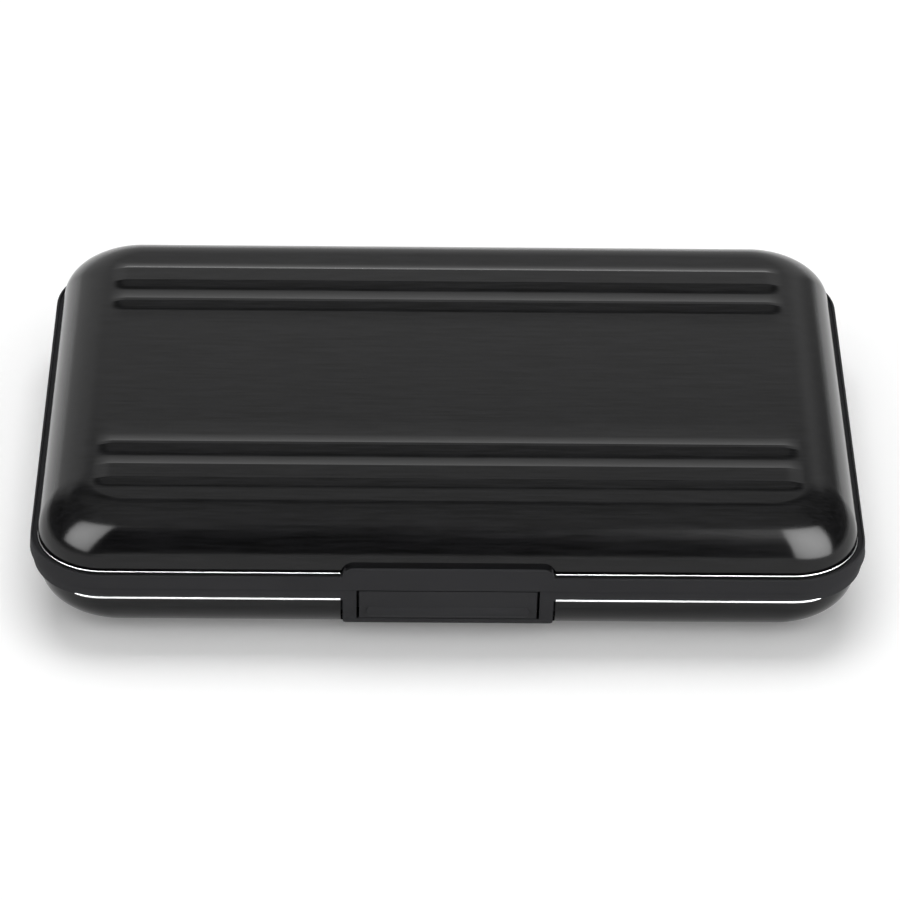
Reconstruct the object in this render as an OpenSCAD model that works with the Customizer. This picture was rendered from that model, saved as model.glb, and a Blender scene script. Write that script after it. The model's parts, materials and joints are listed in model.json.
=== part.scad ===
// Flat memory card case: two pressed aluminium shells on moulded frames,
// hinged along the back, with a push-button latch at the front and a foam
// insert for the cards in each half. The case lies closed on its lower ribs,
// length along X, latch at -Y, hinge at +Y.
//
// Each half is drawn the same way up, with its parting plane at z = 0 and its
// flat face above it. Sections are drawn by inset and height: the inset is
// the distance in from the outline of the case, the height the distance from
// the parting plane.

/* [Case] */
// Length of the frames along X
case_l = 110; // [106:1:150]
// Depth of the frames along Y, without the hinge
case_w = 75; // [72:1:110]
// Corner radius of the frames, seen from above
corner_r = 10.2; // [8.6:0.1:16]
// Height of each half, from the parting plane to the flat of its shell
half_h = 8.9; // [8.5:0.1:14]
// Gap between the two frames when the case is shut
parting_gap = 0.1; // [0.05:0.01:0.2]

/* [Shells] */
// Thickness of the aluminium sheet
shell_t = 0.5; // [0.4:0.05:0.7]
// Inset of the shell's wall from the outline
shell_in = 1.15; // [1.05:0.05:1.6]
// Radius of the rounding between the shell's wall and its flat
shell_r = 6.65; // [5.8:0.05:6.85]
// Height of the bare bright rim along the shell's edge
rim_h = 0.4; // [0.3:0.05:0.6]
// How far the bright rim stands out of the wall
rim_out = 0.1; // [0.05:0.01:0.12]

/* [Ribs] */
// Height of the ribs above the flat
rib_h = 0.42; // [0.3:0.02:0.48]
// Strip of flat left between the outer rib and the rounding
rib_edge = 2.8; // [2:0.1:6]
// Flat left at each end of the ribs
rib_end = 0.3; // [0.2:0.1:6]
// Width of the outer rib
outer_rib_w = 6.93; // [5:0.1:9]
// Width of the slope on the outer rib that faces the middle of the case
outer_rib_in = 2.2; // [1:0.1:2.6]
// Width of the slope on the outer rib that faces the edge of the case
outer_rib_out = 1.2; // [0.6:0.1:2]
// Width of the inner rib
inner_rib_w = 5.12; // [4:0.1:7]
// Width of the slope on the inner rib that faces the middle of the case
inner_rib_in = 1.5; // [0.8:0.1:1.9]
// Width of the slope on the inner rib that faces the outer rib
inner_rib_out = 0.8; // [0.5:0.1:1.6]
// Length of the slope at each end of a rib
rib_taper = 0.9; // [0.5:0.1:3]

/* [Frames] */
// Height of the frame's ledge above the parting plane
ledge_h = 1.95; // [1.8:0.05:2.1]
// Depth of the groove in the ledge that the shell's edge sits in
groove_d = 0.3; // [0.2:0.05:0.35]
// Gap between the groove's outer side and the bright rim
groove_gap = 0.05; // [0.02:0.01:0.1]
// Lean of the upper frame's face, inward over its height
upper_lean = 0.12; // [0:0.02:0.3]
// Radius of the upper frame's ledge edge
upper_lip_r = 0.25; // [0.15:0.05:0.4]
// Step of the lower frame's face behind the upper one, at the parting plane
lower_step = 0.12; // [0:0.02:0.2]
// Lean of the lower frame's face, inward over its height
lower_lean = 0.3; // [0.1:0.02:0.35]
// Radius of the lower frame's ledge edge
lower_lip_r = 0.35; // [0.2:0.05:0.4]
// Height of the frame's wall inside the shell, from the parting plane
tongue_h = 4; // [3:0.1:4.6]
// Thickness of the frame's wall inside the shell
tongue_t = 1.2; // [0.9:0.1:1.3]
// Gap between that wall and the shell
tongue_gap = 0.1; // [0.05:0.01:0.2]

/* [Latch] */
// Width of the button
button_w = 23.2; // [16:0.2:28]
// Height of the button below the parting plane
button_h = 5.7; // [5.5:0.05:5.9]
// Gap between the button and its surround, left and right
button_side_gap = 0.35; // [0.2:0.05:0.5]
// Gap between the button and its surround, above and below
button_end_gap = 0.15; // [0.1:0.01:0.2]
// Distance that the button moves when it is pressed
button_travel = 1; // [0.8:0.05:1.2]
// Wall of the button round the hollow in its back
button_wall = 1.2; // [0.8:0.1:1.5]
// Width of the surround's legs beside the button
surround_w = 1.8; // [1.4:0.1:2.5]
// Depth of the surround from the outline to its flat back
surround_back = 3.7; // [3.6:0.05:3.9]
// Lean of the latch's face, in degrees
latch_slant = 14.7; // [12:0.1:17]
// Angle on the shell's rounding at which the surround ends, in degrees
latch_end = 62; // [58:1:66]
// How far the latch's face stands out of the shell's rounding
latch_proud = 0.35; // [0.2:0.05:0.5]
// Radius of the surround's lower corners, seen from the front
latch_corner_r = 1.8; // [1:0.1:3]
// Thickness of the surround's bar at its lower end
latch_bar_t = 1.4; // [1:0.1:1.6]
// Gap between the shells' cut-outs and what fills them
cut_gap = 0.28; // [0.15:0.01:0.4]
// Height of the ridge across the button
ridge_h = 1.9; // [1.2:0.1:2.2]
// How far the ridge stands out of the button's face
ridge_out = 0.5; // [0.3:0.05:0.7]
// Height of the ridge's middle below the parting plane
ridge_at = 4.1; // [3.6:0.1:4.2]
// Distance between the ridge's ends and the button's sides
ridge_end = 1; // [0.4:0.1:3]
// Height of the hump on the upper frame above the button
hump_h = 3.35; // [3:0.05:4]
// Radius of the hump's upper corners, seen from the front
hump_corner_r = 1.5; // [0.8:0.1:2]
// Radius of the hump's upper edge
hump_edge_r = 0.3; // [0.15:0.05:0.4]

/* [Catch] */
// Width of the hook that stands on the button
hook_w = 10; // [6:0.5:16]
// Thickness of the button's flange and of the hook
flange_t = 1; // [0.8:0.1:1.2]
// Width of the flange's ears beside the button
ear_w = 1.6; // [1.2:0.1:1.7]
// Gap between the flange and what it slides along or rests against
flange_gap = 0.05; // [0.03:0.01:0.1]
// How far the hook reaches over the upper frame's inner edge
hook_bite = 0.6; // [0.4:0.05:0.7]
// Height of the hook's nose
nose_h = 1; // [0.8:0.1:1.3]
// Gap between the hook's nose and the upper frame under it
hook_gap = 0.1; // [0.05:0.01:0.2]
// Thickness of the bracket's side walls
bracket_t = 1.6; // [1.4:0.1:2]
// Thickness of the bracket's roof over the ears
roof_t = 0.85; // [0.6:0.05:1]
// Thickness of the leaf spring behind the button
spring_t = 0.3; // [0.2:0.05:0.4]
// Bow of the leaf spring between its ends and its middle
spring_bow = 1.85; // [1.4:0.05:2]
// Height of the leaf spring's strip
spring_h = 3.4; // [2.4:0.1:3.6]
// How far the spring's ends reach into their slots
spring_grip = 0.8; // [0.5:0.1:1.1]
// Gap round the spring in its slots
slot_gap = 0.08; // [0.05:0.01:0.15]

/* [Hinge] */
// Diameter of the hinge pins
pin_d = 1.5; // [1:0.1:2]
// Running clearance between the pin and the upper frame's bore, on the radius
pin_gap = 0.05; // [0.02:0.01:0.1]
// Outer diameter of the knuckles
knuckle_d = 4; // [3.4:0.1:4.2]
// Gap between the knuckles and the back of the frames
knuckle_gap = 0.3; // [0.2:0.05:0.6]
// Length of each knuckle on the lower frame
knuckle_l = 5; // [3:0.5:8]
// Length of each knuckle on the upper frame
lid_knuckle_l = 6; // [3:0.5:10]
// Gap between neighbouring knuckles
knuckle_end_gap = 0.15; // [0.1:0.05:0.3]
// Distance of each hinge from the middle of the case
hinge_x = 30; // [14:1:32]

/* [Foam] */
// Height of the air gap between the foam and the parting plane
foam_drop = 1; // [0.5:0.1:1.5]
// Thickness of the plain foam sheet under the pockets
foam_base_t = 1.85; // [1.5:0.05:2.5]
// Thickness of the adhesive film between the shell and the foam
film_t = 0.15; // [0.1:0.01:0.25]
// Gap between the foam and the walls round it
foam_gap = 0.2; // [0.1:0.05:0.5]
// Size of a pocket for a full-size card, along X
card_l = 32.6; // [32.2:0.1:33.5]
// Size of a pocket for a full-size card, along Y
card_w = 24.6; // [24.2:0.1:25.5]
// Size of a pocket for a small card, along X
small_l = 15.6; // [15.2:0.1:16.5]
// Size of a pocket for a small card, along Y
small_w = 11.6; // [11.2:0.1:12]
// Width of the foam between pockets side by side
web_x = 5.2; // [4:0.1:6]
// Width of the foam between full-size pockets in front of each other
web_y = 6; // [4:0.1:7]
// Width of the foam between small pockets in front of each other
small_web = 3; // [2:0.1:4]
// Least width of foam between a pocket and the edge of the insert
foam_edge = 5; // [4:0.1:5.5]
// Corner radius of the pockets
pocket_r = 1; // [0.5:0.1:2]
// Radius of the finger hole between two full-size pockets
finger_r = 7; // [5:0.5:9]
// Radius of the finger notch at the end of a small pocket
notch_r = 2.4; // [1.5:0.1:3]
// Room left in the foam round the latch
latch_room = 0.6; // [0.3:0.1:1]

/* [Hidden] */
$fn = 64;
// Overlap of pieces that are fused, and overshoot of cuts
fuse = 0.2;
over = 1;
far = 20;

// Half of the gap between the frames: where each of them starts
gap_h = parting_gap / 2;
// Centre of the shell's rounding
round_in = shell_in + shell_r;
round_h = half_h - shell_r;
// Height of the groove's floor, on which the shell's edge stands
seat_h = ledge_h - groove_d;
rim_in = shell_in - rim_out;
groove_in = rim_in - groove_gap;

// Inset of the shell's inner face at a height above the parting plane
function inside(h) =
    round_in - sqrt(pow(shell_r - shell_t, 2) - pow(max(h - round_h, 0), 2));

tongue_in = inside(tongue_h) + tongue_gap;
frame_in = tongue_in + tongue_t;

// Size of the shell's flat
flat_l = case_l - 2 * round_in;
flat_w = case_w - 2 * round_in;
// Places of the ribs, from the middle of the case to the foot nearer to it
outer_rib_y = flat_w / 2 - rib_edge - outer_rib_w;
inner_rib_y = outer_rib_y - inner_rib_w;
rib_l = flat_l - 2 * rib_end;

// Latch: half widths and heights of the window and the surround
button_x = button_w / 2;
window_x = button_x + button_side_gap;
surround_x = window_x + surround_w;
window_h = button_h + button_end_gap;
// Latch: a leaning face from the lower frame's edge, then a rounding that
// ends at latch_end, latch_proud outside the shell's rounding
face_end_r = shell_r + latch_proud;
face_end_in = round_in - face_end_r * cos(latch_end);
face_end_h = round_h + face_end_r * sin(latch_end);
chord_slope = tan((latch_slant + latch_end) / 2);
lean_len = (chord_slope * face_end_h - face_end_in + lower_step)
    / (chord_slope * cos(latch_slant) - sin(latch_slant));
lean_in = lower_step + lean_len * sin(latch_slant);
lean_h = lean_len * cos(latch_slant);
face_r = norm([face_end_in - lean_in, face_end_h - lean_h])
    / (2 * sin((latch_end - latch_slant) / 2));
face_round_in = lean_in + face_r * cos(latch_slant);
face_round_h = lean_h - face_r * sin(latch_slant);
bar_r = face_end_r - latch_bar_t;
// Steps of the arcs in the sections, in degrees
face_step = (latch_end - latch_slant) / 12;
lip_step = 15;
bar_step = 1;
// Outlines of the latch are drawn this far past the parting plane
outline_back = 2;

// Catch: inset of the flange's front, of its back and of the hook's tip
flange_in = surround_back + flange_gap;
flange_back = flange_in + flange_t;
hook_in = frame_in - hook_bite;
nose_low = seat_h + hook_gap;
nose_top = nose_low + nose_h;
ear_x = button_x + ear_w;
bracket_x = ear_x + 4 * flange_gap;
bracket_out = bracket_x + bracket_t;
roof_h = gap_h + roof_t;
ear_low = roof_h + flange_gap;
ear_high = button_h - 4 * flange_gap;
spring_low = roof_h + 2 * flange_gap;
bracket_h = spring_low + spring_h + 4 * flange_gap;
// Spring: radius of its front face and the depth of the brackets behind it
spring_x = bracket_x + spring_grip;
spring_r = (pow(spring_x, 2) + pow(spring_bow, 2)) / (2 * spring_bow);
bracket_back = flange_back + spring_bow + spring_t + slot_gap + bracket_t / 2;

// Hinge: distance of the pins from the back of the frames, and their length
hinge_out = knuckle_gap + knuckle_d / 2;
hinge_y = case_w / 2 + hinge_out;
pin_l = 2 * knuckle_l + lid_knuckle_l + 2 * knuckle_end_gap;
lower_knuckle_x = (lid_knuckle_l + knuckle_l) / 2 + knuckle_end_gap;

// Foam: heights from the parting plane, insets and pocket counts
film_h = half_h - shell_t - film_t;
sheet_h = film_h - foam_base_t;
sheet_in = round_in + foam_gap / 2;
tray_in = max(frame_in, inside(sheet_h)) + foam_gap;
tray_l = case_l - 2 * tray_in;
tray_w = case_w - 2 * tray_in;
card_cols = floor((tray_l / 2 - small_l / 2 - foam_edge) / (card_l + web_x));
card_rows = floor((tray_w - 2 * foam_edge + web_y) / (card_w + web_y));
small_rows = floor((tray_w - 2 * foam_edge + small_web) / (small_w + small_web));
latch_room_in = bracket_back + latch_room;
latch_room_x = bracket_out + latch_room;

// Place of the parting plane's middle, so that the case stands on its ribs
// with its bounding box centred on the origin
case_z = half_h + rib_h;
case_y = -(hinge_out + knuckle_d / 2) / 2;

// Puts a half in its place: the upper one as drawn, the lower one turned over
module upper() {
    translate([0, case_y, case_z]) children();
}

module lower() {
    translate([0, case_y, case_z]) mirror([0, 0, 1]) children();
}

// Rounded rectangle at an inset from the outline of the case
module outline(inset) {
    r = corner_r - inset;
    l = case_l - 2 * inset;
    w = case_w - 2 * inset;
    square([l, w - 2 * r], center = true);
    square([l - 2 * r, w], center = true);
    for (x = [-1, 1], y = [-1, 1])
        translate([x * (l / 2 - r), y * (w / 2 - r)]) circle(r = r);
}

// Flat layer at an inset from the outline, between two heights
module layer(inset, low, high) {
    translate([0, 0, low]) linear_extrude(high - low) outline(inset);
}

// Carries a section round the case: X in the section is the distance from
// the corners' centres, Y the height
module ring() {
    x = case_l / 2 - corner_r;
    y = case_w / 2 - corner_r;
    for (corner = [[x, y, 0], [-x, y, 90], [-x, -y, 180], [x, -y, 270]])
        translate([corner[0], corner[1], 0]) rotate(corner[2])
            rotate_extrude(angle = 90) children();
    for (side = [[x, 0, 0, 2 * y], [0, y, 90, 2 * x], [-x, 0, 180, 2 * y], [0, -y, 270, 2 * x]])
        translate([side[0], side[1], 0]) rotate(side[2])
            translate([0, side[3] / 2, 0]) rotate([90, 0, 0])
                linear_extrude(side[3]) children();
}

// Carries a section drawn by inset and height along the front, over a width
module front(width) {
    translate([-width / 2, -case_w / 2, 0]) rotate([90, 0, 90])
        linear_extrude(width) children();
}

// Carries an outline drawn by X and height straight through the front wall
module through_front() {
    translate([0, far - case_w / 2, 0]) rotate([90, 0, 0])
        linear_extrude(2 * far) children();
}

// Box at the front, by its half width, its insets and its heights
module front_box(half_x, from_in, to_in, low, high) {
    translate([-half_x, from_in - case_w / 2, low])
        cube([2 * half_x, to_in - from_in, high - low]);
}

// Outline of a latch piece seen from the front, rounded at its high corners
module latch_outline(half_x, high, r) {
    translate([-half_x, -outline_back]) square([2 * half_x, high - r + outline_back]);
    translate([r - half_x, 0]) square([2 * (half_x - r), high]);
    for (x = [-1, 1]) translate([x * (half_x - r), high - r]) circle(r = r);
}

// Section of a frame: a leaning face with a rounded ledge edge, the groove
// for the shell and the wall inside the shell
module frame_section(foot, lean, lip_r) {
    lip = foot + lean + lip_r;
    points = concat(
        [[foot, gap_h]],
        [for (a = [0:lip_step:90]) [lip - lip_r * cos(a), ledge_h - lip_r * (1 - sin(a))]],
        [
            [groove_in, ledge_h], [groove_in, seat_h], [tongue_in, seat_h],
            [tongue_in, tongue_h], [frame_in, tongue_h], [frame_in, gap_h]
        ]
    );
    polygon([for (p = points) [corner_r - p[0], p[1]]]);
}

// Section of a shell: wall with its bright rim, rounding and flat
module shell_section() {
    wall_x = corner_r - shell_in;
    round_x = corner_r - round_in;
    intersection() {
        translate([round_x, round_h]) difference() {
            circle(r = shell_r);
            circle(r = shell_r - shell_t);
        }
        translate([round_x, round_h]) square(shell_r + over);
    }
    translate([0, half_h - shell_t]) square([round_x, shell_t]);
    translate([wall_x - shell_t, seat_h]) square([shell_t, round_h - seat_h]);
    translate([wall_x - shell_t, ledge_h - rim_h / 8]) square([shell_t + rim_out, rim_h]);
}

// One rib with its base at z = 0, sunk by a depth, its length along X and its
// slopes rising from the foot at y = 0
module rib(width, slope_in, slope_out, sink) {
    intersection() {
        translate([-rib_l / 2, 0, 0]) rotate([90, 0, 90]) linear_extrude(rib_l)
            polygon([
                [0, -sink], [0, 0], [slope_in, rib_h],
                [width - slope_out, rib_h], [width, 0], [width, -sink]
            ]);
        translate([0, width, 0]) rotate([90, 0, 0]) linear_extrude(width)
            polygon([
                [-rib_l / 2, -sink], [-rib_l / 2, 0], [rib_taper - rib_l / 2, rib_h],
                [rib_l / 2 - rib_taper, rib_h], [rib_l / 2, 0], [rib_l / 2, -sink]
            ]);
    }
}

// The four ribs of a shell on a plane at a height
module ribs(height, sink) {
    for (side = [0, 1]) mirror([0, side, 0]) {
        translate([0, outer_rib_y, height])
            rib(outer_rib_w, outer_rib_in, outer_rib_out, sink);
        translate([0, inner_rib_y, height])
            rib(inner_rib_w, inner_rib_in, inner_rib_out, sink);
    }
}

// Pressed shell with its ribs, hollow behind them, before its cut-out
module shell() {
    difference() {
        union() {
            ring() shell_section();
            translate([0, 0, half_h - shell_t]) linear_extrude(shell_t)
                square([case_l - 2 * corner_r, case_w - 2 * corner_r], center = true);
            ribs(half_h, fuse);
        }
        ribs(half_h - shell_t, fuse);
    }
}

// Points of the latch's face from the parting plane to a height
function face_points(high) = concat(
    [[lower_step, gap_h]],
    [for (a = [latch_slant:face_step:latch_end + bar_step / 2])
        if (face_round_h + face_r * sin(a) < high)
            [face_round_in - face_r * cos(a), face_round_h + face_r * sin(a)]]
);

// Inset of the latch's face at a height on its rounding
function face_inset(h) = face_round_in - sqrt(pow(face_r, 2) - pow(h - face_round_h, 2));

// Section of the surround: its legs with a flat back and its bar
module surround_section() {
    polygon(concat(
        face_points(face_end_h + over),
        [
            [round_in - bar_r * cos(latch_end), round_h + bar_r * sin(latch_end)],
            [surround_back, window_h], [surround_back, gap_h]
        ]
    ));
}

// Surround of the button, which fills the lower shell's cut-out
module surround() {
    intersection() {
        front(2 * surround_x) surround_section();
        through_front() latch_outline(surround_x, face_end_h, latch_corner_r);
    }
}

// Bracket behind each leg: guides the button's ears and holds the spring
module brackets() {
    difference() {
        union() {
            front_box(bracket_out, tongue_in, bracket_back, gap_h, bracket_h);
            front_box(surround_x, frame_in, surround_back, gap_h, bracket_h);
        }
        front_box(bracket_x, surround_back, bracket_back + over, roof_h, bracket_h + over);
        front_box(window_x, tongue_in - over, bracket_back + over, -over, bracket_h + over);
        leaf(spring_x, slot_gap);
    }
}

// Bowed strip of the leaf spring, with a gap round it for its slots
module leaf(half_x, gap) {
    intersection() {
        translate([0, flange_back + spring_r - case_w / 2, spring_low - gap]) difference() {
            cylinder(r = spring_r + gap, h = spring_h + 2 * gap, $fn = 180);
            translate([0, 0, -over])
                cylinder(r = spring_r - spring_t - gap, h = spring_h + 2 * over, $fn = 180);
        }
        front_box(half_x + gap, flange_back - over, bracket_back + over, 0, far);
    }
}

// Knuckle with its arm, on the back of a half, centred on an X
module knuckle(x, width, bore_d) {
    translate([x - width / 2, 0, 0]) rotate([90, 0, 90]) linear_extrude(width) difference() {
        union() {
            translate([hinge_y, 0]) circle(d = knuckle_d);
            polygon([
                [case_w / 2 - rim_in, gap_h], [hinge_y, gap_h], [hinge_y, knuckle_d / 2],
                [case_w / 2, seat_h], [case_w / 2 - rim_in, seat_h]
            ]);
        }
        translate([hinge_y, 0]) circle(d = bore_d);
    }
}

module hinge_pin(side) {
    translate([side * hinge_x - pin_l / 2, hinge_y, 0]) rotate([0, 90, 0])
        cylinder(d = pin_d, h = pin_l);
}

// Rows of a pattern, centred on the middle
function rows(count, pitch) = [for (i = [0:count - 1]) (i - (count - 1) / 2) * pitch];

module pocket(l, w) {
    translate([pocket_r - l / 2, -w / 2]) square([l - 2 * pocket_r, w]);
    translate([-l / 2, pocket_r - w / 2]) square([l, w - 2 * pocket_r]);
    for (x = [-1, 1], y = [-1, 1])
        translate([x * (l / 2 - pocket_r), y * (w / 2 - pocket_r)]) circle(r = pocket_r);
}

// Outlines of the pockets: full-size ones at the sides, small ones between
module pockets() {
    card_x = (small_l + card_l) / 2 + web_x;
    card_y = rows(card_rows, card_w + web_y);
    for (side = [-1, 1], col = [0:card_cols - 1])
        translate([side * (card_x + col * (card_l + web_x)), 0]) {
            for (y = card_y) translate([0, y]) pocket(card_l, card_w);
            for (y = rows(card_rows - 1, card_w + web_y)) translate([0, y]) circle(r = finger_r);
        }
    for (y = rows(small_rows, small_w + small_web)) translate([0, y]) {
        pocket(small_l, small_w);
        for (side = [-1, 1]) translate([side * small_l / 2, 0]) circle(r = notch_r);
    }
}

module foam_tray() {
    difference() {
        layer(tray_in, foam_drop, sheet_h);
        translate([0, 0, foam_drop - over])
            linear_extrude(sheet_h - foam_drop + 2 * over) pockets();
        front_box(latch_room_x, -over, latch_room_in, 0, half_h);
    }
}

module foam_base() {
    difference() {
        layer(sheet_in, sheet_h, film_h);
        front_box(latch_room_x, -over, latch_room_in, 0, half_h);
    }
}

module film() {
    difference() {
        layer(sheet_in, film_h, film_h + film_t);
        front_box(latch_room_x, -over, latch_room_in, 0, half_h);
    }
}

module lower_shell() {
    cut_angle = latch_end + cut_gap / shell_r * 180 / PI;
    reach = shell_r + over;
    color("#26272a") lower() difference() {
        shell();
        intersection() {
            front(2 * (surround_x + cut_gap)) polygon([
                [round_in, -over], [round_in, round_h],
                [round_in - reach * cos(cut_angle), round_h + reach * sin(cut_angle)],
                [-over, round_h + reach * sin(cut_angle)], [-over, -over]
            ]);
            through_front()
                latch_outline(surround_x + cut_gap, face_end_h + cut_gap, latch_corner_r + cut_gap);
        }
    }
}

module lower_frame() {
    color("#1b1b1d") lower() difference() {
        union() {
            ring() frame_section(lower_step, lower_lean, lower_lip_r);
            surround();
            brackets();
            for (side = [-1, 1], end = [-1, 1])
                knuckle(side * hinge_x + end * lower_knuckle_x, knuckle_l, pin_d);
        }
        front_box(window_x, -over, surround_back + over, -over, window_h);
    }
}

module lower_film() {
    color("#d9d5c8") lower() film();
}

module lower_foam_base() {
    color("#1d1e20") lower() foam_base();
}

module lower_foam_tray() {
    color("#232427") lower() foam_tray();
}

module hinge_pin_left() {
    color("#c7c9cc") lower() hinge_pin(-1);
}

module hinge_pin_right() {
    color("#c7c9cc") lower() hinge_pin(1);
}

module latch_spring() {
    color("#b9bcc0") lower() leaf(spring_x, 0);
}

// Ridge across the button's face, with round ends and a rounded back
module ridge() {
    ridge_x = button_x - ridge_end;
    face_in = face_inset(ridge_at);
    ridge_r = (pow(ridge_h / 2, 2) + pow(ridge_out, 2)) / (2 * ridge_out);
    intersection() {
        front(2 * ridge_x) translate([face_in - ridge_out + ridge_r, ridge_at]) circle(r = ridge_r);
        through_front() {
            translate([-ridge_x + ridge_h / 2, ridge_at - ridge_h / 2])
                square([2 * ridge_x - ridge_h, ridge_h]);
            for (x = [-1, 1]) translate([x * (ridge_x - ridge_h / 2), ridge_at])
                circle(d = ridge_h);
        }
    }
}

// Button with its flange behind the surround and its hook. It is drawn in the
// lower half, so the hook's heights above the parting plane are negative.
module latch_button() {
    top = gap_h + button_end_gap;
    color("#1f1f21") lower() {
        difference() {
            front(button_w) intersection() {
                polygon(concat(face_points(button_h), [
                    [face_inset(button_h), button_h],
                    [flange_back, button_h], [flange_back, gap_h]
                ]));
                translate([0, top]) square([flange_back, button_h - top]);
            }
            front_box(button_x - button_wall, face_inset(button_h) + button_wall,
                flange_back + over, top + button_wall, button_h - button_wall);
        }
        ridge();
        difference() {
            front_box(ear_x, flange_in, flange_back, ear_low, ear_high);
            front_box(button_x - button_wall, flange_in - over,
                flange_back + over, top + button_wall, button_h - button_wall);
        }
        front(hook_w) polygon([
            [flange_in, top + button_wall], [flange_back, top + button_wall],
            [flange_back, -nose_top], [flange_in, -nose_top],
            [hook_in, -(nose_low + nose_top) / 2], [hook_in, -nose_low], [flange_in, -nose_low]
        ]);
    }
}

module upper_shell() {
    notch_h = hump_h + cut_gap;
    color("#2a2b2e") upper() difference() {
        shell();
        intersection() {
            front(2 * (surround_x + cut_gap))
                translate([-over, -over]) square([round_in, notch_h + 2 * over]);
            through_front()
                latch_outline(surround_x + cut_gap, notch_h, hump_corner_r + cut_gap);
        }
    }
}

// Hump on the upper frame: its face runs on from the frame's face
module hump() {
    lip = upper_lean + hump_edge_r;
    intersection() {
        front(2 * surround_x) polygon(concat(
            [[0, gap_h]],
            [for (a = [0:lip_step:90])
                [lip - hump_edge_r * cos(a), hump_h - hump_edge_r * (1 - sin(a))]],
            [[frame_in, hump_h], [frame_in, gap_h]]
        ));
        through_front() latch_outline(surround_x, hump_h, hump_corner_r);
    }
}

module upper_frame() {
    color("#1b1b1d") upper() difference() {
        union() {
            ring() frame_section(0, upper_lean, upper_lip_r);
            hump();
            for (side = [-1, 1])
                knuckle(side * hinge_x, lid_knuckle_l, pin_d + 2 * pin_gap);
        }
        front_box(hook_w / 2 + button_side_gap, hook_in - 2 * flange_gap,
            surround_back + over, seat_h, tongue_h + over);
    }
}

module upper_film() {
    color("#d9d5c8") upper() film();
}

module upper_foam_base() {
    color("#1d1e20") upper() foam_base();
}

module upper_foam_tray() {
    color("#232427") upper() foam_tray();
}

lower_shell();
lower_frame();
lower_film();
lower_foam_base();
lower_foam_tray();
hinge_pin_left();
hinge_pin_right();
latch_spring();
latch_button();
upper_shell();
upper_frame();
upper_film();
upper_foam_base();
upper_foam_tray();
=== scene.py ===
"""Looks of a flat aluminium memory card case, built around its solid model.

The visible pieces are made in mesh code or by geometry node trees, get their
materials here and ride on the bodies of the solid model that they belong to.
The hinge pins and the adhesive films are the model's own solids.
"""

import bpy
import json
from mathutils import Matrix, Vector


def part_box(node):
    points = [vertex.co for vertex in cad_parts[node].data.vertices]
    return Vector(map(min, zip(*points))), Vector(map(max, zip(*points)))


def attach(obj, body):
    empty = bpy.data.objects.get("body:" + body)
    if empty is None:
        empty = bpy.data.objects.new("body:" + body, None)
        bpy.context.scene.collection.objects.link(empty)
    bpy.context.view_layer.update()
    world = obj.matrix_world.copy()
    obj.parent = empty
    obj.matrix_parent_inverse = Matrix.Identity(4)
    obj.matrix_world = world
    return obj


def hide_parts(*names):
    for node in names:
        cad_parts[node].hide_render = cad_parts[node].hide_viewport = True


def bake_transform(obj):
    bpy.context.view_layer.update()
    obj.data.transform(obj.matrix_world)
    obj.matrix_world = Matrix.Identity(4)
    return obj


bl_info = {
    "name": "Memory card case",
    "version": (1, 0, 0),
    "blender": (4, 5, 0),
    "location": "3D View > Sidebar > Card Case",
    "description": "Builds the pieces, finishes and studio of a hinged card case",
    "category": "Object",
}

import json
import math

import bmesh
import bpy
from mathutils import Matrix, Vector

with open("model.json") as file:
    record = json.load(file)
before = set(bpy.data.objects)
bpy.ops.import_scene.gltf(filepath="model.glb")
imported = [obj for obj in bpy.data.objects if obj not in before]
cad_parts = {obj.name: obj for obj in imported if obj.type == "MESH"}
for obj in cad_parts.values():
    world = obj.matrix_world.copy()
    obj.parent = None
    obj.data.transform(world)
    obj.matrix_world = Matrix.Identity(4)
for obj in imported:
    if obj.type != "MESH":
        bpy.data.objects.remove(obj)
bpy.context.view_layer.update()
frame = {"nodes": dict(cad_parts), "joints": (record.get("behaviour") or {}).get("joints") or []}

MM = 0.001
UPPER = "upper"
LOWER = "lower"
HALVES = (UPPER, LOWER)
BODY_OF = {UPPER: "lid", LOWER: "base"}


def length(name, description, mm):
    """A size that a user may change, in metres, from its value in mm."""
    return bpy.props.FloatProperty(
        name=name, description=description, default=mm * MM, unit="LENGTH", precision=5)


def tint(name, description, colour):
    """A colour that a user may change."""
    return bpy.props.FloatVectorProperty(
        name=name, description=description, default=colour,
        size=3, subtype="COLOR", min=0.0, max=1.0)


def amount(name, description, value):
    """A plain factor that a user may change."""
    return bpy.props.FloatProperty(
        name=name, description=description, default=value, min=0.0, subtype="FACTOR")


def power(name, description, watts):
    """A lamp's power that a user may change."""
    return bpy.props.FloatProperty(
        name=name, description=description, default=watts, min=0.0, unit="POWER")


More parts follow.
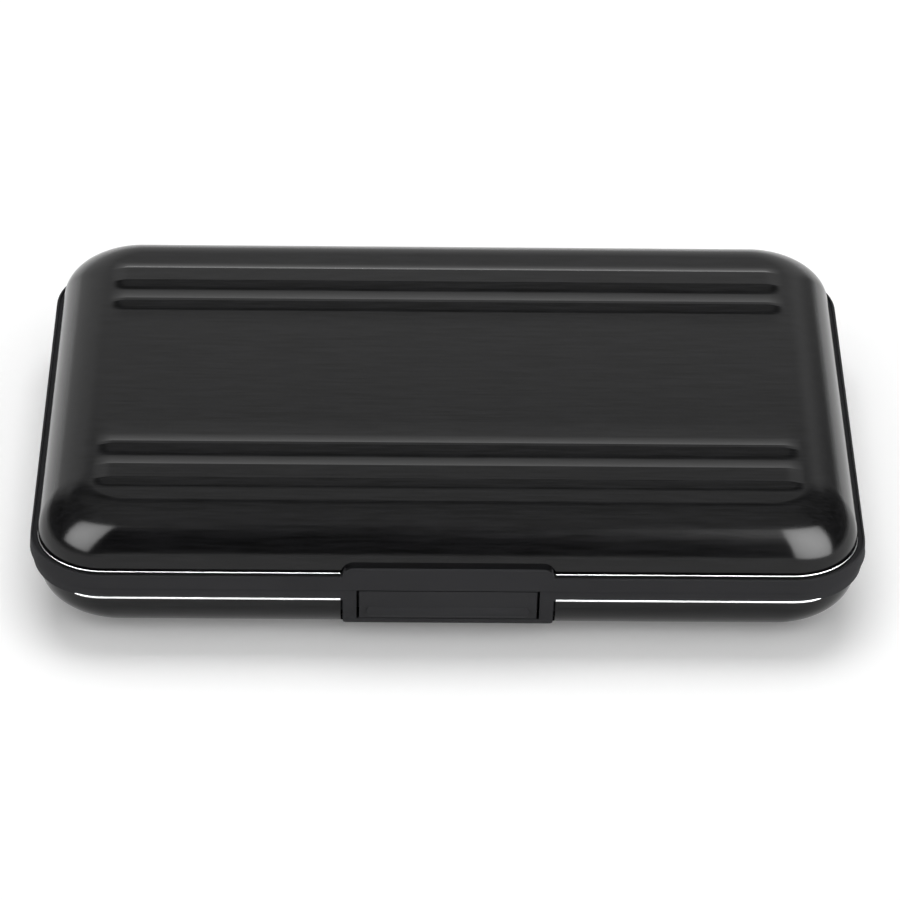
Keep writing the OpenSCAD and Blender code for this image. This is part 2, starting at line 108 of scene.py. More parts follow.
class CardCaseSizes(bpy.types.PropertyGroup):
    """Sizes of the pressed shells, the frames, the latch and the foam"""

    corner_r: length("Corner radius", "Of the frames, seen from above", 10.2)
    half_h: length("Half height", "From the parting plane to the flat of each shell", 8.9)
    shell_t: length("Sheet thickness", "Of the aluminium sheet", 0.5)
    shell_in: length("Shell inset", "From the outline to the shell's wall", 1.15)
    shell_r: length("Shell rounding", "Between the shell's wall and its flat", 6.65)
    rim_r: length("Rim rounding", "Of the rims' edges", 0.1)
    upper_rim_h: length("Upper rim height", "Of the bare metal rim", 0.25)
    upper_rim_in: length("Upper rim inset", "Of its outer face", 1.1)
    upper_rim_low: length("Upper rim foot", "From the parting plane to the upper rim", 1.78)
    lower_rim_h: length("Lower rim height", "Of the bare metal rim", 0.27)
    lower_rim_in: length("Lower rim inset", "Of its outer face", 0.24)
    lower_rim_low: length("Lower rim foot", "From the parting plane to the lower rim", 1.5)
    seam_w: length("Seam width", "Of the dark seam outside the upper rim", 0.72)
    slot_in: length("Slot depth", "Inset of the back of the hump's slot", 1.9)
    seam_d: length("Seam depth", "Of the dark seam outside the upper rim", 0.5)
    rim_end: length("Rim end", "Where the lower rim is sunk, behind the front", 1.3)
    ledge_h: length("Ledge height", "From the parting plane", 1.95)
    groove_d: length("Groove depth", "Of the groove that the shell sits in", 0.3)
    flat_r: length("Flat's corners", "Growth of the corner radius from the wall to the flat", 2.8)
    rib_h: length("Rib height", "Above the flat", 0.32)
    rib_edge: length("Rib edge", "Flat between the outer rib and the rounding", 2.8)
    rib_end: length("Rib end", "Flat left at each end of the ribs", 0.3)
    rib_taper: length("Rib taper", "Slope at each end of a rib", 2.6)
    outer_rib_w: length("Outer rib width", "With both slopes", 6.93)
    outer_rib_in: length("Outer rib inner slope", "Towards the middle of the case", 2.2)
    outer_rib_out: length("Outer rib outer slope", "Towards the edge of the case", 1.65)
    inner_rib_w: length("Inner rib width", "With both slopes", 5.12)
    inner_rib_in: length("Inner rib inner slope", "Towards the middle of the case", 2.1)
    inner_rib_out: length("Inner rib outer slope", "Towards the outer rib", 2.4)
    button_w: length("Button width", "Along X", 23.2)
    button_side_gap: length("Button side gap", "Gap beside the button", 0.35)
    surround_w: length("Surround width", "Of the legs beside the button", 1.8)
    surround_end: length("Surround end", "From the parting plane to the surround's lower end", 8.43)
    surround_in: length("Surround depth", "Inset of the surround's lower end", 4.7)
    surround_corner_r: length("Surround corners", "Of the surround's lower end", 1.8)
    hump_h: length("Hump height", "Above the parting plane", 3.35)
    hump_corner_r: length("Hump corners", "Of the hump's upper end", 1.5)
    cut_gap: length("Cut-out gap", "Between the cut-outs and what fills them", 0.28)
    frame_edge: length("Frame edges", "Radius of the moulded edges", 0.1)
    button_edge: length("Button edges", "Radius of the moulded edges", 0.16)
    foam_edge: length("Foam edges", "Radius of the soft edges", 0.4)
    latch_room_x: length("Latch room", "Half width of the foam's recess for the latch", 15.6)
    latch_room_in: length("Latch room depth", "Inset of the foam's recess for the latch", 8.38)
    card_l: length("Card pocket length", "For a full-size card", 32.6)
    card_w: length("Card pocket width", "For a full-size card", 24.6)
    card_x: length("Card pocket place", "From the middle to the full-size pockets, along X", 29.3)
    card_y: length("Card pocket row", "From the middle to the full-size pockets, along Y", 15.3)
    small_l: length("Small pocket length", "For a small card", 15.6)
    small_w: length("Small pocket width", "For a small card", 11.6)
    small_pitch: length("Small pocket pitch", "From one small pocket to the next", 14.6)
    pocket_r: length("Pocket corners", "Radius of a pocket's corners", 1.0)
    finger_r: length("Finger hole", "Radius of the hole between two pockets", 7.0)
    notch_r: length("Finger notch", "Radius of the notch at a small pocket's end", 2.4)


class CardCaseColours(bpy.types.PropertyGroup):
    """Colours of the finishes"""

    shell: tint("Shell", "Black anodised sheet", (0.0021, 0.0021, 0.0023))
    rim: tint("Rim", "Bare cut edge of the sheet", (0.93, 0.93, 0.94))
    frame: tint("Frame", "Moulded frames", (0.0262, 0.0262, 0.0278))
    button: tint("Button", "Moulded button", (0.0275, 0.0275, 0.0290))
    foam: tint("Foam", "Die-cut foam", (0.026, 0.026, 0.028))
    film: tint("Film", "Adhesive film", (0.70, 0.68, 0.60))
    steel: tint("Steel", "Pins and spring", (0.60, 0.61, 0.62))
    floor: tint("Floor", "Studio floor", (0.96, 0.96, 0.96))


class CardCaseStudio(bpy.types.PropertyGroup):
    """Levels of the studio's light"""

    ambient: amount("Ambient", "Level of the even light from all round", 0.38)
    sky: amount("Ceiling", "Level of the reflected ceiling and walls", 1.45)
    softbox: amount("Softboxes", "Level of the two reflected softboxes", 9.4)
    floor_lift: amount("Floor lift", "Level that lifts the floor to white", 0.1)
    left_w: power("Left softbox", "Power of the left softbox", 4.5)
    right_w: power("Right softbox", "Power of the right softbox", 5.5)
    top_w: power("Overhead softbox", "Power of the softbox over the case", 7.7)


def sizes():
    return bpy.context.scene.card_case_sizes


def colours():
    return bpy.context.scene.card_case_colours


def studio():
    return bpy.context.scene.card_case_studio


class Outline:
    """The frames' outline, worked out from the solid model and the sizes."""

    def __init__(self, s):
        low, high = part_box("upper_frame")
        self.length = high.x - low.x
        self.front = low.y
        joint = next(j for j in frame["joints"] if j["name"] == "lid_hinge")
        self.parting = joint["pos_m"][2]
        shell_low, shell_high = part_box("upper_shell")
        self.centre_y = (shell_low.y + shell_high.y) / 2
        self.depth = 2 * (self.centre_y - self.front)
        self.corner_x = self.length / 2 - s.corner_r
        self.corner_y = self.depth / 2 - s.corner_r
        self.window_x = s.button_w / 2 + s.button_side_gap + s.surround_w + s.cut_gap

    def place(self, half, x, y, height):
        """A point of a half, by its height from the parting plane, in the frame."""
        sign = 1 if half == UPPER else -1
        return Vector((x, y + self.centre_y, self.parting + sign * height))


def steps(low, high, count):
    """Evenly spaced values with both ends."""
    return [low + (high - low) * i / count for i in range(count + 1)]


def corner_arcs(xs, ys, r, count):
    """Points of a quarter turn round each corner of a box, from the front right one on."""
    points = []
    for quarter in (3, 0, 1, 2):
        x = xs[1] if quarter in (3, 0) else xs[0]
        y = ys[1] if quarter in (0, 1) else ys[0]
        points += [(x + r * math.cos(a), y + r * math.sin(a))
                   for a in steps(quarter * math.pi / 2, (quarter + 1) * math.pi / 2, count)]
    return points


def new_piece(name, bm):
    """Turns a bmesh into an object."""
    mesh = bpy.data.meshes.new(name)
    bm.to_mesh(mesh)
    bm.free()
    piece = bpy.data.objects.new(name, mesh)
    bpy.context.scene.collection.objects.link(piece)
    return piece


def apply_modifiers(piece):
    """Bakes a piece's modifiers into its mesh."""
    bpy.context.view_layer.update()
    graph = bpy.context.evaluated_depsgraph_get()
    mesh = bpy.data.meshes.new_from_object(piece.evaluated_get(graph), depsgraph=graph)
    if not mesh.polygons:
        raise RuntimeError(f"{piece.name} came out empty")
    old = piece.data
    piece.modifiers.clear()
    piece.data = mesh
    bpy.data.meshes.remove(old)
    mesh.name = piece.name


def cut(piece, tool):
    """Cuts a tool out of a piece and removes the tool."""
    modifier = piece.modifiers.new("Cut", "BOOLEAN")
    modifier.operation = "DIFFERENCE"
    modifier.solver = "EXACT"
    modifier.object = tool
    apply_modifiers(piece)
    bpy.data.objects.remove(tool)


# Angles between faces, in degrees, above which an edge is rounded or kept sharp
ROUND_ANGLE = 40
SHARP_ANGLE = 32
# Mesh steps across a rounded edge
EDGE_STEPS = 3


def round_edges(piece, radius):
    """Rounds the edges where faces meet at an angle."""
    modifier = piece.modifiers.new("Edges", "BEVEL")
    modifier.width = radius
    modifier.segments = EDGE_STEPS
    modifier.limit_method = "ANGLE"
    modifier.angle_limit = math.radians(ROUND_ANGLE)
    apply_modifiers(piece)


def soften(piece):
    """Smooth shading with sharp edges kept where faces meet at an angle."""
    for name in ("custom_normal", "sharp_face"):
        layer = piece.data.attributes.get(name)
        if layer:
            piece.data.attributes.remove(layer)
    for polygon in piece.data.polygons:
        polygon.use_smooth = True
    piece.data.set_sharp_from_angle(angle=math.radians(SHARP_ANGLE))


def paint(piece, material):
    """Gives the whole piece one material."""
    piece.data.materials.clear()
    piece.data.materials.append(material)
    for polygon in piece.data.polygons:
        polygon.material_index = 0


def prism(name, points, start, end):
    """A solid between two copies of an outline: start and end place its points."""
    bm = bmesh.new()
    first = [bm.verts.new(start(p)) for p in points]
    last = [bm.verts.new(end(p)) for p in points]
    bm.faces.new(first)
    bm.faces.new(reversed(last))
    for i in range(len(points)):
        j = (i + 1) % len(points)
        bm.faces.new((first[j], first[i], last[i], last[j]))
    bmesh.ops.recalc_face_normals(bm, faces=bm.faces)
    return new_piece(name, bm)


# Distances at which points are one, in a mesh made here and in a solid's
WELD = 1e-7
SOLID_WELD = 1e-6


def merged_solid(node):
    """The mesh of a solid of the model, with its points merged."""
    bm = bmesh.new()
    bm.from_mesh(frame["nodes"][node].data)
    bmesh.ops.remove_doubles(bm, verts=bm.verts, dist=SOLID_WELD)
    return bm


# Places of a mix node's two colours among its inputs, and of the result among its outputs
MIX_FIRST, MIX_SECOND, MIX_RESULT = 6, 7, 2


class Nodes:
    """Adds nodes to a tree. An input is a value or the socket that feeds it."""

    def __init__(self, tree):
        self.tree = tree

    def feed(self, socket, value):
        if isinstance(value, bpy.types.NodeSocket):
            self.tree.links.new(value, socket)
        else:
            socket.default_value = value

    def add(self, kind, *values, settings=None, **inputs):
        """A new node, its first inputs in order and others by name."""
        node = self.tree.nodes.new(kind)
        for name, setting in (settings or {}).items():
            setattr(node, name, setting)
        for socket, value in zip(node.inputs, values):
            self.feed(socket, value)
        for name, value in inputs.items():
            self.feed(node.inputs[name.replace("_", " ")], value)
        return node

    def result(self, kind, *values, **inputs):
        """The first output of a new node."""
        return self.add(kind, *values, **inputs).outputs[0]

    def math(self, operation, *values):
        return self.result("ShaderNodeMath", *values, settings={"operation": operation})

    def product(self, value, *others):
        for other in others:
            value = self.math("MULTIPLY", value, other)
        return value

    def dot(self, vector, axis):
        node = self.add("ShaderNodeVectorMath", vector, tuple(axis),
                        settings={"operation": "DOT_PRODUCT"})
        return node.outputs["Value"]

    def ramp(self, value, start, end, low=0.0, high=1.0, soft=False):
        """Maps start..end to low..high, and holds the ends."""
        node = self.add("ShaderNodeMapRange", value, start, end, low, high)
        node.interpolation_type = "SMOOTHSTEP" if soft else "LINEAR"
        return node.outputs["Result"]

    def blend(self, factor, first, second):
        """A colour between two others."""
        node = self.add("ShaderNodeMix", settings={"data_type": "RGBA"})
        for key, value in (("Factor", factor), (MIX_FIRST, first), (MIX_SECOND, second)):
            self.feed(node.inputs[key], value)
        return node.outputs[MIX_RESULT]

    def vector(self, **axes):
        return self.result("ShaderNodeCombineXYZ", **axes)

    def position(self):
        """The X, Y and Z of each point."""
        place = self.result("GeometryNodeInputPosition")
        return self.add("ShaderNodeSeparateXYZ", place).outputs

    def rounded_section(self, width, height, radius, count):
        """A rectangle with rounded corners."""
        section = self.result("GeometryNodeCurvePrimitiveQuadrilateral", Width=width, Height=height)
        return self.result("GeometryNodeFilletCurve", section, settings={"mode": "POLY"},
                           Count=count, Radius=radius)


def grow(piece, build, material, lengths):
    """Builds a geometry node tree with an input for each length, runs it on a piece and
    keeps its result as a plain mesh."""
    tree = bpy.data.node_groups.new(build.__name__, "GeometryNodeTree")
    tree.is_modifier = True
    face = tree.interface
    face.new_socket("Geometry", in_out="OUTPUT", socket_type="NodeSocketGeometry")
    face.new_socket("Geometry", in_out="INPUT", socket_type="NodeSocketGeometry")
    for label in lengths:
        socket = face.new_socket(label, in_out="INPUT", socket_type="NodeSocketFloat")
        socket.subtype = "DISTANCE"
    face.new_socket("Material", in_out="INPUT", socket_type="NodeSocketMaterial")
    nodes = Nodes(tree)
    given = nodes.add("NodeGroupInput").outputs
    realized = nodes.result("GeometryNodeRealizeInstances", build(nodes, given))
    shown = nodes.result("GeometryNodeSetMaterial", realized, Material=given["Material"])
    nodes.add("NodeGroupOutput", shown)
    modifier = piece.modifiers.new("Grow", "NODES")
    modifier.node_group = tree
    values = {**lengths, "Material": material}
    for item in face.items_tree:
        if item.in_out == "INPUT" and item.name in values:
            modifier[item.identifier] = values[item.name]
    apply_modifiers(piece)
    paint(piece, material)


RIBS = ("Inner", "Outer")
RIB_LENGTHS = ("Foot", "Width", "Inner slope", "Outer slope")
# How hollow the ribs' slopes are: 1 is straight
RIB_HOLLOW = 1.7


def rib_lengths(s):
    """The RIB_LENGTHS of both RIBS. A foot is measured from the middle of the case."""
    flat = Outline(s).depth / 2 - s.shell_in - s.shell_r
    outer = flat - s.rib_edge - s.outer_rib_w
    return ((outer - s.inner_rib_w, s.inner_rib_w, s.inner_rib_in, s.inner_rib_out),
            (outer, s.outer_rib_w, s.outer_rib_in, s.outer_rib_out))


def pressed_ribs(nodes, given):
    """Geometry nodes that press two ribs on each side of the middle into a sheet."""
    place = nodes.position()
    across = nodes.math("ABSOLUTE", nodes.math("SUBTRACT", place["Y"], given["Middle"]))
    to_end = nodes.math("SUBTRACT", given["Half length"], nodes.math("ABSOLUTE", place["X"]))
    end = nodes.ramp(to_end, 0.0, given["End slope"], soft=True)
    rises = []
    for rib in RIBS:
        foot, width, slope_in, slope_out = (given[f"{rib} {label}"] for label in RIB_LENGTHS)
        from_foot = nodes.math("SUBTRACT", across, foot)
        sides = [nodes.ramp(from_foot, 0.0, slope_in),
                 nodes.ramp(nodes.math("SUBTRACT", width, from_foot), 0.0, slope_out)]
        hollow = [nodes.math("POWER", side, RIB_HOLLOW) for side in sides]
        rises.append(nodes.math("MINIMUM", *hollow))
    lift = nodes.product(nodes.math("MAXIMUM", *rises), end, given["Rib height"])
    return nodes.result("GeometryNodeSetPosition", given["Geometry"], Offset=nodes.vector(Z=lift))


# Mesh steps across a rib's inner slope, its top and its outer slope
RIB_STEPS = (9, 6, 7)
# Mesh steps from the middle of the flat to the inner rib
MIDDLE_STEPS = 4
# Mesh steps along the flat, near its corners and between them
BEND_STEPS = 8
LENGTH_STEPS = 14
# Mesh steps round a corner, outwards over the flat's rim, and down the rounding
CORNER_STEPS = 24
FLAT_STEPS = 16
ROUNDING_STEPS = 28
# Distance of the mesh lines beside the edges of a rib's top
CREASE = 0.07 * MM


def shell_surface(bm, s, half, sheet, path):
    """Adds one side of a shell: the flat, the rounding and a path of (inset, height)
    down the wall. Returns the last ring and the way to join rings."""
    outline = Outline(s)
    round_in = s.shell_in + s.shell_r
    round_h = s.half_h - s.shell_r
    top = s.half_h - sheet
    ribs = rib_lengths(s)
    ys = {0.0, outline.corner_y}
    for foot, width, slope_in, slope_out in ribs:
        edges = (foot, foot + slope_in, foot + width - slope_out, foot + width)
        for low, high, count in zip(edges, edges[1:], RIB_STEPS):
            ys.update(steps(low, high, count))
        ys.update(edge + crease for edge in edges[1:-1] for crease in (-CREASE, CREASE))
    ys.update(steps(0, ribs[0][0], MIDDLE_STEPS))
    ys = sorted({round(y, 7) for y in ys})
    ys = [-y for y in reversed(ys) if y > 0] + ys
    bend = outline.corner_x - s.flat_r
    xs = [-x for x in steps(outline.corner_x, bend, BEND_STEPS)]
    xs += steps(-bend, bend, LENGTH_STEPS)[1:-1]
    xs += steps(bend, outline.corner_x, BEND_STEPS)

    def ring_points(r, growth):
        """A ring at a distance r outside the corners' centres, its corners rounder by a growth."""
        centre_x, centre_y, arc = outline.corner_x - growth, outline.corner_y - growth, r + growth
        start = math.asin(growth / arc) if arc else 0.0

        def reach(value, centre, other):
            off = max(0.0, value - centre) / arc if arc else 0.0
            return other + arc * math.sqrt(max(0.0, 1 - off * off))

        turns = [(centre_x + arc * math.cos(a), centre_y + arc * math.sin(a))
                 for a in steps(start, math.pi / 2 - start, CORNER_STEPS)]
        east = [(reach(abs(y), centre_y, centre_x), y) for y in ys[1:-1]]
        north = [(x, reach(abs(x), centre_x, centre_y)) for x in xs[1:-1]]
        return (turns + list(reversed(north))
                + [(-x, y) for x, y in reversed(turns)] + [(-x, y) for x, y in reversed(east)]
                + [(-x, -y) for x, y in turns] + [(x, -y) for x, y in north]
                + [(x, -y) for x, y in reversed(turns)] + east)

    def bridge(first, second):
        for i in range(len(first)):
            j = (i + 1) % len(first)
            bm.faces.new((first[i], first[j], second[j], second[i]))

    grid = [[bm.verts.new(outline.place(half, x, y, top)) for y in ys] for x in xs]
    for i in range(len(xs) - 1):
        for j in range(len(ys) - 1):
            bm.faces.new((grid[i][j], grid[i + 1][j], grid[i + 1][j + 1], grid[i][j + 1]))
    flat_edge = s.corner_r - round_in
    radius = s.shell_r - sheet
    rings = [(r, top, s.flat_r * r / flat_edge) for r in steps(0, flat_edge, FLAT_STEPS)]
    rings += [(flat_edge + radius * math.cos(a), round_h + radius * math.sin(a),
               s.flat_r * math.sin(a) ** 2)
              for a in steps(math.pi / 2, 0, ROUNDING_STEPS)[1:]]
    rings += [(s.corner_r - inset, height, 0.0) for inset, height in path]
    last = None
    for r, height, growth in rings:
        ring = [bm.verts.new(outline.place(half, x, y, height)) for x, y in ring_points(r, growth)]
        if last:
            bridge(last, ring)
        last = ring
    return last, bridge


def build_shell(half, material):
    """A pressed shell with soft ribs and its cut-out."""
    s = sizes()
    outline = Outline(s)
    bm = bmesh.new()
    seat = s.ledge_h - s.groove_d
    outer_ring, bridge = shell_surface(bm, s, half, 0.0, [(s.shell_in, seat)])
    inner_ring, _ = shell_surface(bm, s, half, s.shell_t, [(s.shell_in + s.shell_t, seat)])
    bridge(outer_ring, inner_ring)
    bmesh.ops.remove_doubles(bm, verts=bm.verts, dist=WELD)
    bmesh.ops.recalc_face_normals(bm, faces=bm.faces)
    piece = new_piece(f"{half}_shell_pressing", bm)
    grow(piece, pressed_ribs, material, {
        "Rib height": s.rib_h if half == UPPER else -s.rib_h,
        "Half length": outline.length / 2 - s.shell_in - s.shell_r - s.rib_end,
        "End slope": s.rib_taper,
        "Middle": outline.centre_y,
        **{f"{rib} {label}": value for rib, lengths in zip(RIBS, rib_lengths(s))
           for label, value in zip(RIB_LENGTHS, lengths)},
    })
    cut(piece, shell_window(half))
    paint(piece, material)
    soften(piece)
    return piece


# How far a cut-out's tool reaches past the front and the parting plane
TOOL_OUT = 1 * MM
TOOL_BACK = 2 * MM
# Mesh steps round a corner of a cut-out
WINDOW_STEPS = 10


def shell_window(half):
    """Tool that cuts the shell's opening for the hump or the surround."""
    s = sizes()
    outline = Outline(s)
    if half == UPPER:
        high, r = s.hump_h + s.cut_gap, s.hump_corner_r + s.cut_gap
        deep = s.shell_in + s.shell_r
    else:
        high, r = s.surround_end + s.cut_gap, s.surround_corner_r + s.cut_gap
        deep = s.surround_in
    points = [(outline.window_x, -TOOL_BACK)]
    points += [(outline.window_x - r + r * math.cos(a), high - r + r * math.sin(a))
               for a in steps(0, math.pi / 2, WINDOW_STEPS)]
    points += [(-x, h) for x, h in reversed(points)]
    front = -outline.depth / 2
    return prism("window", points,
                 lambda p: outline.place(half, p[0], front - TOOL_OUT, p[1]),
                 lambda p: outline.place(half, p[0], front + deep, p[1]))


# Share of the lower rim's section that is gone where it is sunk
RIM_SUNK = 0.7
# Distance behind the front at which a band starts to thin
RIM_WHOLE = 0.15 * MM
# Mesh steps round a corner of a band's section and of its path
SECTION_STEPS = 4
PATH_STEPS = 32


def swept_band(nodes, given):
    """Geometry nodes that sweep a rounded band along a path."""
    path = nodes.result("GeometryNodeMeshToCurve", given["Geometry"])
    behind = nodes.math("SUBTRACT", nodes.position()["Y"], given["Front"])
    sunk = nodes.ramp(behind, 0.0, given["End"], soft=True)
    size = nodes.math("SUBTRACT", 1.0, nodes.product(sunk, RIM_SUNK))
    path = nodes.result("GeometryNodeSetCurveNormal", path, settings={"mode": "Z_UP"})
    section = nodes.rounded_section(given["Thickness"], given["Height"], given["Rounding"],
                                    SECTION_STEPS)
    return nodes.result("GeometryNodeCurveToMesh", path, section, Scale=size, Fill_Caps=True)


def swept_ring(name, half, material, low, high, outer_in, inner_in, rounding, end=None):
    """A band round a half, from one side of its latch to the other. It sinks into the
    wall at an end behind the front, or only thins towards the back."""
    outline = Outline(sizes())
    r = sizes().corner_r - (outer_in + inner_in) / 2
    front = -outline.corner_y - r
    points = [(outline.window_x, front),
              *corner_arcs((-outline.corner_x, outline.corner_x),
                           (-outline.corner_y, outline.corner_y), r, PATH_STEPS),
              (-outline.window_x, front)]
    bm = bmesh.new()
    path = [bm.verts.new(outline.place(half, x, y, (low + high) / 2)) for x, y in points]
    for first, second in zip(path, path[1:]):
        bm.edges.new((first, second))
    piece = new_piece(name, bm)
    grow(piece, swept_band, material, {
        "Height": high - low, "Thickness": inner_in - outer_in, "Rounding": rounding,
        "Front": outline.centre_y + front + RIM_WHOLE, "End": end or 2 * outline.depth,
    })
    soften(piece)
    return piece


def build_rim(half, material):
    """The sheet's bare edge: a bright band round the foot of the shell's wall."""
    s = sizes()
    low, height, outer_in, end = {
        UPPER: (s.upper_rim_low, s.upper_rim_h, s.upper_rim_in, None),
        LOWER: (s.lower_rim_low, s.lower_rim_h, s.lower_rim_in, s.rim_end),
    }[half]
    return swept_ring(f"{half}_rim", half, material, low, low + height, outer_in,
                      s.shell_in + s.shell_t / 2, s.rim_r, end)


def hump_slot():
    """Tool for the dark slot between the hump's lip and the shell's cut-out."""
    s = sizes()
    outline = Outline(s)
    lip = s.upper_rim_in - s.seam_w
    front = -outline.depth / 2
    half_x = outline.window_x - s.cut_gap - lip
    low = s.ledge_h + s.groove_d
    points = [(-half_x, low), (half_x, low), (half_x, s.half_h), (-half_x, s.half_h)]
    return prism("slot", points, lambda p: outline.place(UPPER, p[0], front + lip, p[1]),
                 lambda p: outline.place(UPPER, p[0], front + s.slot_in, p[1]))


def seam_tool(material):
    """Tool for the dark seam between the upper rim and the edge of the frame."""
    s = sizes()
    return swept_ring("seam", UPPER, material, s.ledge_h - s.seam_d, s.ledge_h + s.seam_d,
                      s.upper_rim_in - s.seam_w, s.upper_rim_in, s.rim_r / 4)


# Angle in degrees up to which neighbouring faces of a solid's mesh are one face
FACE_ANGLE = 0.4


def moulding(node, name, radius, material):
    """A moulded part with rounded edges, from a solid's merged faces."""
    bm = merged_solid(node)
    bmesh.ops.dissolve_limit(bm, angle_limit=math.radians(FACE_ANGLE),
                             verts=bm.verts, edges=bm.edges)
    piece = new_piece(name, bm)
    soften(piece)
    round_edges(piece, radius)
    soften(piece)
    paint(piece, material)
    return piece


# Full-size pockets in an outer row of a tray, and small ones in the row between
CARD_COUNT = 2
SMALL_COUNT = 4
# Mesh steps round a pocket's corner, a whole finger hole and a tray's corner
POCKET_STEPS = 6
HOLE_STEPS = 48
FOAM_STEPS = 16


def die_cut(nodes, given):
    """Geometry nodes that cut the card pockets and finger holes out of a foam slab."""
    half_depth = nodes.product(given["Depth"], 0.5)
    stem = nodes.result("GeometryNodeCurvePrimitiveLine",
                        nodes.vector(Z=nodes.product(half_depth, -1.0)),
                        nodes.vector(Z=half_depth))

    def cutter(section):
        return nodes.result("GeometryNodeCurveToMesh", stem, section, Fill_Caps=True)

    def pocket(kind):
        return cutter(nodes.rounded_section(given[f"{kind} length"], given[f"{kind} width"],
                                            given["Corner radius"], POCKET_STEPS))

    def hole(radius):
        return cutter(nodes.result("GeometryNodeCurvePrimitiveCircle",
                                   Resolution=HOLE_STEPS, Radius=radius))

    def spread(shape, *sizes_and_counts):
        points = nodes.result("GeometryNodeMeshGrid", *sizes_and_counts)
        return nodes.result("GeometryNodeInstanceOnPoints", points, Instance=shape)

    card_x, card_y = (nodes.product(given[label], 2.0) for label in ("Card place", "Card row"))
    small_span = nodes.product(given["Small pitch"], float(SMALL_COUNT - 1))
    cards = spread(pocket("Card"), card_x, card_y, CARD_COUNT, 2)
    fingers = spread(hole(given["Finger radius"]), card_x, 0.0, CARD_COUNT, 1)
    small = spread(pocket("Small"), 0.0, small_span, 1, SMALL_COUNT)
    notches = spread(hole(given["Notch radius"]), given["Small length"], small_span,
                     2, SMALL_COUNT)
    piece = given["Geometry"]
    middle = nodes.vector(Y=given["Middle Y"], Z=given["Middle Z"])
    for cutters in (cards, fingers, small, notches):
        placed = nodes.result("GeometryNodeTransform", cutters, Translation=middle)
        placed = nodes.result("GeometryNodeRealizeInstances", placed)
        piece = nodes.result("GeometryNodeMeshBoolean", piece, placed,
                             settings={"operation": "DIFFERENCE", "solver": "EXACT"})
    return piece


def foam_slab(node, name):
    """A foam slab with the recess for the latch, as large as its solid."""
    s = sizes()
    outline = Outline(s)
    low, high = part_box(node)
    inset = outline.length / 2 - high.x
    r = s.corner_r - inset
    recess = outline.front + s.latch_room_in
    points = [(s.latch_room_x, low.y),
              *corner_arcs((low.x + r, high.x - r), (low.y + r, high.y - r), r, FOAM_STEPS),
              (-s.latch_room_x, low.y), (-s.latch_room_x, recess), (s.latch_room_x, recess)]
    return prism(name, points, lambda p: Vector((*p, low.z)), lambda p: Vector((*p, high.z)))


def build_tray(half, material):
    """The die-cut foam tray of one half."""
    s = sizes()
    low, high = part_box(f"{half}_foam_tray")
    piece = foam_slab(f"{half}_foam_tray", f"{half}_foam_insert")
    grow(piece, die_cut, material, {
        "Card length": s.card_l, "Card width": s.card_w,
        "Card place": s.card_x, "Card row": s.card_y,
        "Small length": s.small_l, "Small width": s.small_w, "Small pitch": s.small_pitch,
        "Corner radius": s.pocket_r, "Finger radius": s.finger_r, "Notch radius": s.notch_r,
        "Depth": 2 * (high.z - low.z),
        "Middle Y": Outline(s).centre_y, "Middle Z": (low.z + high.z) / 2,
    })
    return piece


# The span that most of a noise lies in
NOISE_SPAN = (0.3, 0.7)


class Material(Nodes):
    """Builds a node material step by step, in Object coordinates."""

    def __init__(self, name, colour, **values):
        self.material = bpy.data.materials.new(name)
        self.material.use_nodes = True
        super().__init__(self.material.node_tree)
        self.colour = tuple(colour)
        self.shader = self.tree.nodes["Principled BSDF"]
        self.shader.inputs["Base Color"].default_value = (*self.colour, 1.0)
        for socket, value in values.items():
            self.shader.inputs[socket.replace("_", " ")].default_value = value
        self.coords = self.add("ShaderNodeTexCoord").outputs["Object"]

    def stretched(self, scale):
        """Object coordinates in metres, scaled along each axis."""
        return self.add("ShaderNodeMapping", self.coords, Scale=scale).outputs["Vector"]

    def noise(self, scale, detail=3.0, roughness=0.6):
        """Noise with its own scale along X, Y and Z, in features per metre."""
        return self.add("ShaderNodeTexNoise", Vector=self.stretched(scale), Scale=1.0,
                        Detail=detail, Roughness=roughness).outputs["Fac"]

    def set(self, socket, value):
        self.tree.links.new(value, self.shader.inputs[socket])

    def tone(self, factor, low, high):
        """Base colour between two shades of the material's own colour."""
        low, high = ((*shaded(self.colour, shade), 1.0) for shade in (low, high))
        self.set("Base Color", self.blend(factor, low, high))

    def roughen(self, noise, low, high):
        self.set("Roughness", self.ramp(noise, *NOISE_SPAN, low, high))

    def bump(self, height, distance):
        node = self.add("ShaderNodeBump", Height=height, Distance=distance, Strength=1.0)
        self.set("Normal", node.outputs["Normal"])


def shaded(colour, factor):
    """A colour made darker or lighter."""
    return tuple(min(c * factor, 1.0) for c in colour)


def shell_material():
    """Black anodised sheet, finely brushed along the length of the case."""
    m = Material("anodised_black", colours().shell, IOR=1.37)
    grain = m.noise((90, 11000, 11000), detail=4.0, roughness=0.7)
    cloud = m.noise((45, 45, 45), detail=2.0)
    rubbed = m.noise((160, 1400, 1400), roughness=0.55)
    brushed = m.ramp(m.noise((170, 2600, 2600)), 0.35, 0.65)
    m.tone(m.math("ADD", m.product(brushed, 0.85), m.product(cloud, 0.15)), 0.2, 3.2)
    streaks = m.ramp(rubbed, 0.35, 0.75, 0.0, 0.03)
    m.set("Roughness", m.math("ADD", m.ramp(grain, *NOISE_SPAN, 0.11, 0.16), streaks))
    m.bump(grain, distance=3e-6)
    return m.material


def rim_material():
    """Bare aluminium edge of the pressed sheet."""
    m = Material("bare_rim", colours().rim, Metallic=1.0)
    grain = m.noise((700, 700, 5000), detail=2.0)
    m.tone(grain, 0.94, 1.03)
    m.roughen(grain, 0.36, 0.5)
    m.bump(grain, distance=2e-6)
    return m.material


